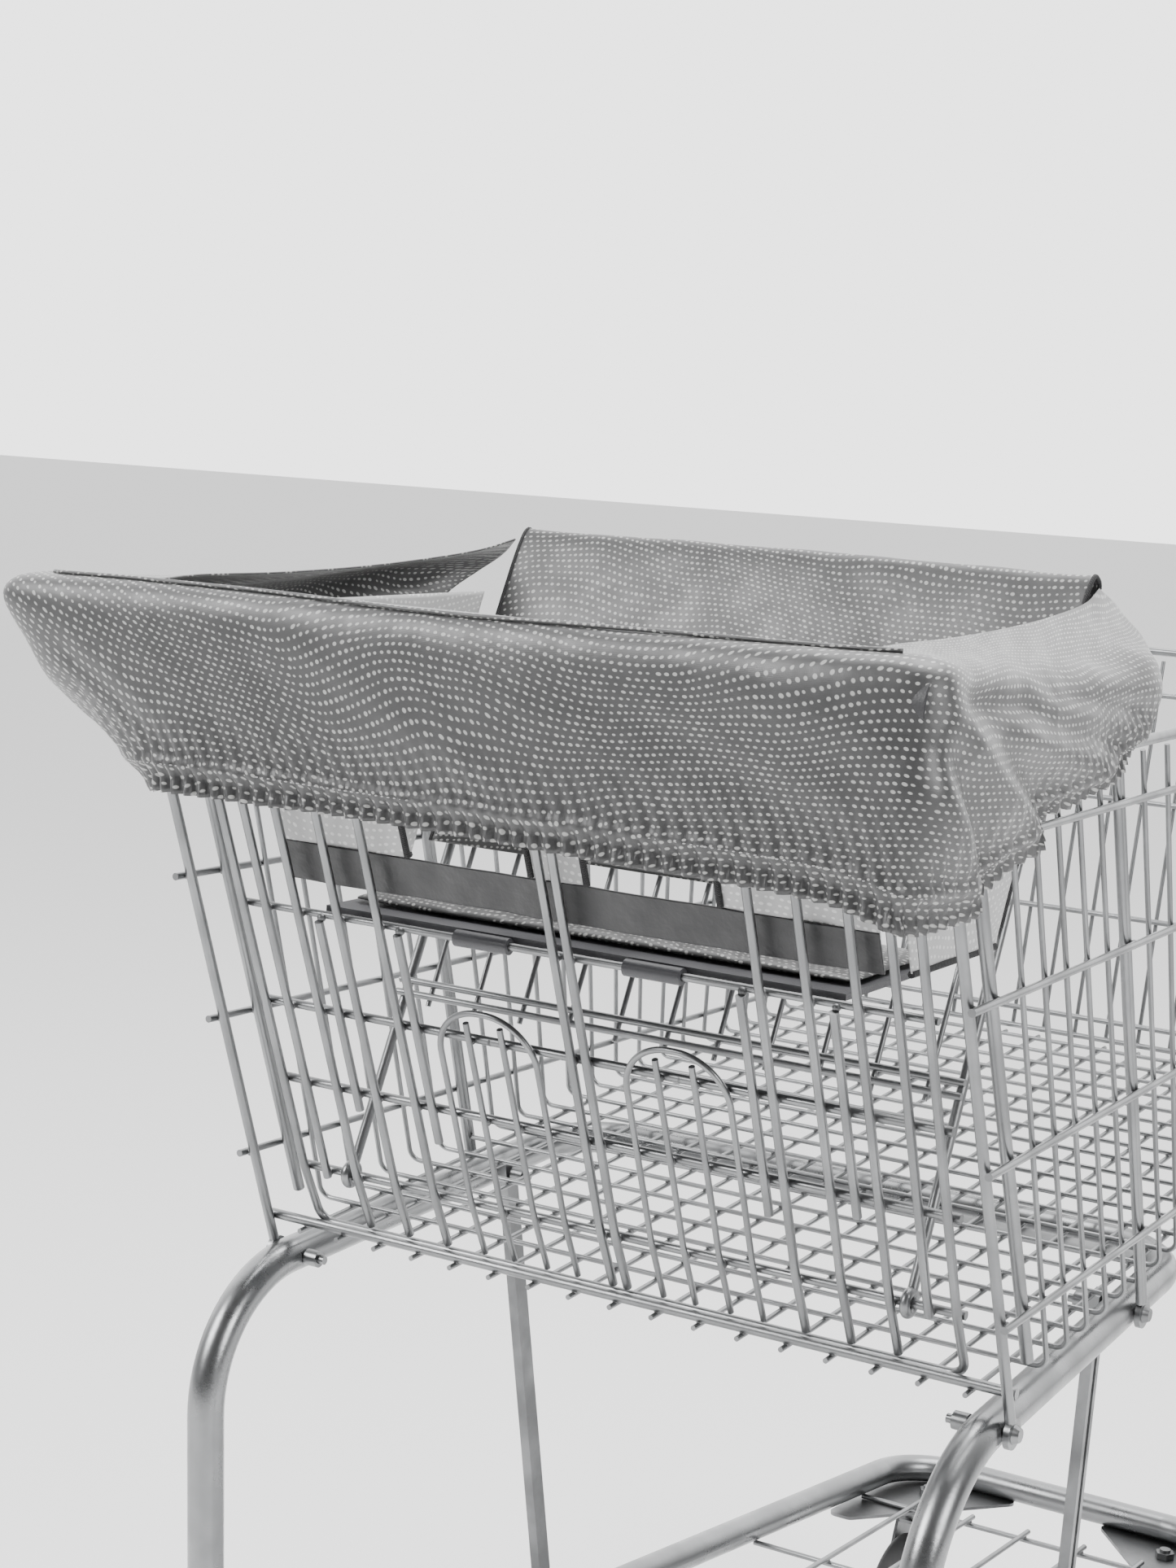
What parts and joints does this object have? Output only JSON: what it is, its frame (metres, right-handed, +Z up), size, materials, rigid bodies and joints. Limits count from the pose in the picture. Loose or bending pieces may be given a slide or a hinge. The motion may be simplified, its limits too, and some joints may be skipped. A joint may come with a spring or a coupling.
{
  "type": "shopping cart",
  "caption": "Nesting wire shopping cart with a swinging rear gate, fold-down child seat, fabric seat cover, lower tray and swivelling front casters.",
  "frame": {"origin": "on the floor under the middle of the whole cart", "axes": "+X to the cart's right seen from the handle, +Y forward from the handle to the front panel, +Z up"},
  "size_m": [0.608, 1.1452, 1.0915],
  "materials": {
    "wire": "bright zinc plate",
    "zinc": "satin zinc plate",
    "grip": "fine grain",
    "seat": "moulded",
    "tyre": "smooth tread",
    "cloth": "satin weave with small pale dots"
  },
  "bodies": {
    "chassis": {"bolt_spacers": "zinc", "caster_kingpins": "zinc", "caster_plates": "zinc", "caster_races": "zinc", "cover_side_left": "cloth", "cover_side_right": "cloth", "cover_skirt": "cloth", "floor_cross_wires": "wire", "floor_long_wires": "wire", "frame_bolts": "zinc", "frame_cross_bar": "zinc", "front_rods": "wire", "front_supports": "zinc", "front_wires": "wire", "gate_hinge_rod": "wire", "handle_bar": "zinc", "handle_brackets": "zinc", "handle_end_caps": "grip", "handle_grip": "grip", "lower_frame_tube": "zinc", "middle_posts": "wire", "rear_axles": "zinc", "rear_floor_rod": "wire", "rear_forks": "zinc", "rear_posts": "wire", "rim_rods": "wire", "second_posts": "wire", "side_rods": "wire", "side_wires_left": "wire", "side_wires_right": "wire", "tray_wires": "wire", "upper_frame_tube": "zinc"},
    "gate": {"gate_arches": "wire", "gate_cross_rods": "wire", "gate_hinge_sleeves": "wire", "gate_outer_wire": "wire", "gate_pivot_rod": "wire", "gate_upright_wires": "wire", "seat_pan_rod": "wire", "cover_seat_band": "cloth", "cover_liner_sides": "cloth"},
    "seat_back": {"seat_side_rods": "wire", "seat_cross_rods": "wire", "seat_back_wires": "wire", "cover_backrest": "cloth"},
    "seat_pan": {"seat_pan": "seat", "cover_seat_pad": "cloth"},
    "caster_left": {"caster_fork_left": "zinc", "front_axle_left": "zinc"},
    "front_wheel_left": {"wheel_front_left": "grip", "tyre_front_left": "tyre"},
    "rear_wheel_left": {"wheel_rear_left": "grip", "tyre_rear_left": "tyre"},
    "caster_right": {"caster_fork_right": "zinc", "front_axle_right": "zinc"},
    "front_wheel_right": {"wheel_front_right": "grip", "tyre_front_right": "tyre"},
    "rear_wheel_right": {"wheel_rear_right": "grip", "tyre_rear_right": "tyre"}
  },
  "joints": [
    {"name": "gate_swing", "type": "hinge", "parent": "chassis", "child": "gate", "pos_m": [0, -0.48568, 1.031], "axis": [1, 0, 0], "range_deg": [0, 65]},
    {"name": "seat_back_fold", "type": "hinge", "parent": "gate", "child": "seat_back", "pos_m": [0, -0.32687, 0.645], "axis": [1, 0, 0], "range_deg": [0, 18]},
    {"name": "seat_pan_fold", "type": "hinge", "parent": "gate", "child": "seat_pan", "pos_m": [0, -0.40449, 0.841], "axis": [1, 0, 0], "range_deg": [0, 60]},
    {"name": "caster_swivel_left", "type": "hinge", "parent": "chassis", "child": "caster_left", "pos_m": [-0.12, 0.5199, 0.14], "axis": [0, 0, 1], "continuous": true},
    {"name": "front_wheel_spin_left", "type": "hinge", "parent": "caster_left", "child": "front_wheel_left", "pos_m": [-0.12, 0.4839, 0.0625], "axis": [1, 0, 0], "continuous": true},
    {"name": "rear_wheel_spin_left", "type": "hinge", "parent": "chassis", "child": "rear_wheel_left", "pos_m": [-0.25466, -0.4111, 0.0625], "axis": [1, 0, 0], "continuous": true},
    {"name": "caster_swivel_right", "type": "hinge", "parent": "chassis", "child": "caster_right", "pos_m": [0.12, 0.5199, 0.14], "axis": [0, 0, 1], "continuous": true},
    {"name": "front_wheel_spin_right", "type": "hinge", "parent": "caster_right", "child": "front_wheel_right", "pos_m": [0.12, 0.4839, 0.0625], "axis": [1, 0, 0], "continuous": true},
    {"name": "rear_wheel_spin_right", "type": "hinge", "parent": "chassis", "child": "rear_wheel_right", "pos_m": [0.25466, -0.4111, 0.0625], "axis": [1, 0, 0], "continuous": true}
  ],
  "couplings": [
    {"joint": "seat_back_fold", "follows": "gate_swing", "ratio": 0.2769},
    {"joint": "seat_pan_fold", "follows": "gate_swing", "ratio": 0.923}
  ]
}
